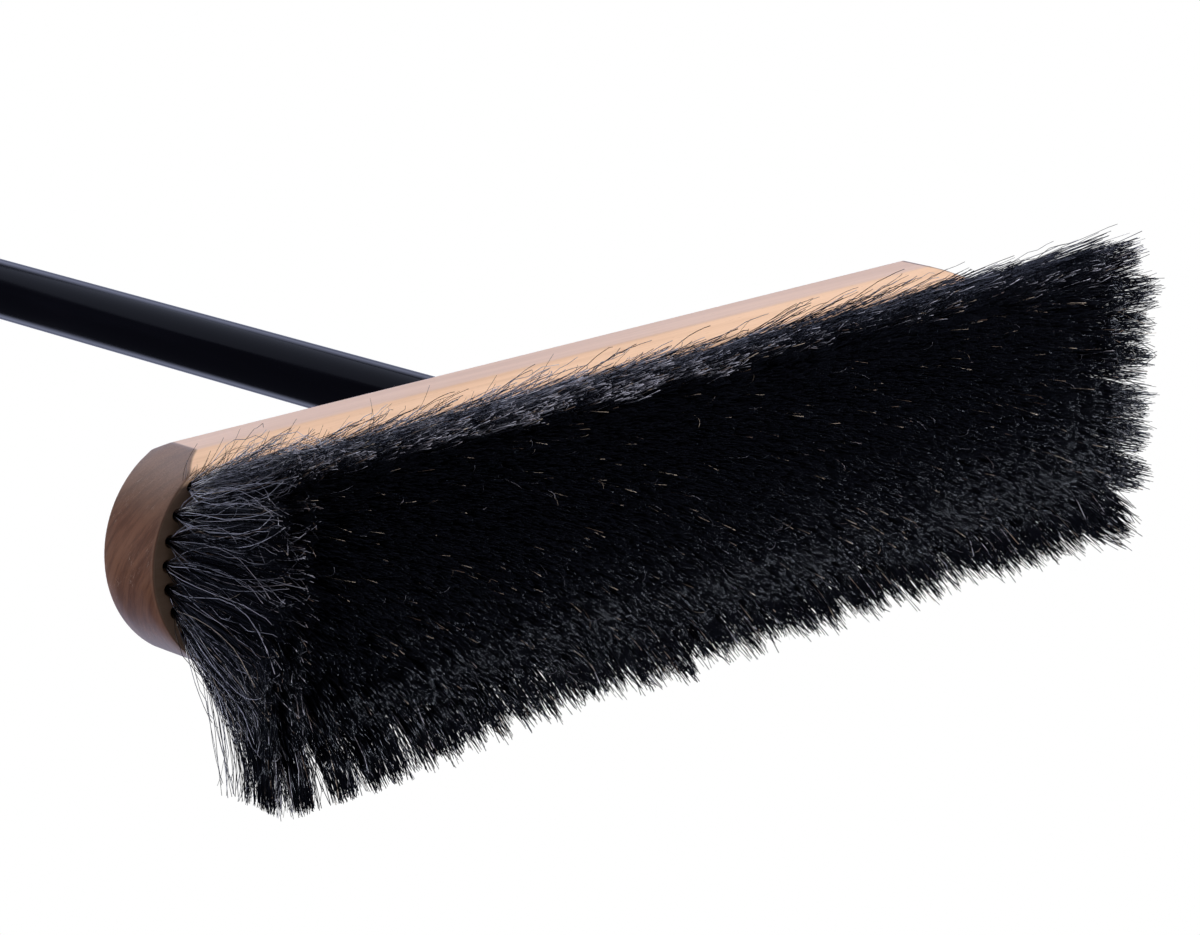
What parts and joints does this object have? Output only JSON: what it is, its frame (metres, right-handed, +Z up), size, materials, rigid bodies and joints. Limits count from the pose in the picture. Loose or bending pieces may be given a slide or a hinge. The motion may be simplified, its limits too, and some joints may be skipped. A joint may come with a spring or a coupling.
{
  "type": "horsehair floor broom",
  "caption": "Floor broom with a moulded beech block, black horsehair tufts and a straight black coated steel handle that screws into the middle of the block.",
  "frame": {"origin": "centre of the rectangle of bristle tips, in the plane that the broom stands on", "axes": "+X along the head, +Z up the handle, +Y across the head"},
  "size_m": [0.3556, 0.0946, 1.3386],
  "materials": {
    "beech": "satin lacquer over planed beech",
    "horsehair": "black horsehair, slightly glossy",
    "coated_steel": "gloss black coating on steel tube",
    "black_plastic": "moulded black plastic, semi-gloss"
  },
  "bodies": {
    "head": {"head_block": "beech", "tuft_row_1": "horsehair", "tuft_row_2": "horsehair", "tuft_row_3": "horsehair", "tuft_row_4": "horsehair", "tuft_row_5": "horsehair", "tuft_row_6": "horsehair", "tuft_row_7": "horsehair", "tuft_row_8": "horsehair"},
    "handle": {"threaded_tip": "black_plastic", "handle_tube": "coated_steel", "end_cap": "black_plastic"}
  },
  "joints": [
    {"name": "handle_screw", "type": "hinge", "parent": "head", "child": "handle", "pos_m": [0, 0, 0.0907], "axis": [0, 0, 1], "range_deg": [0, 1350]}
  ]
}
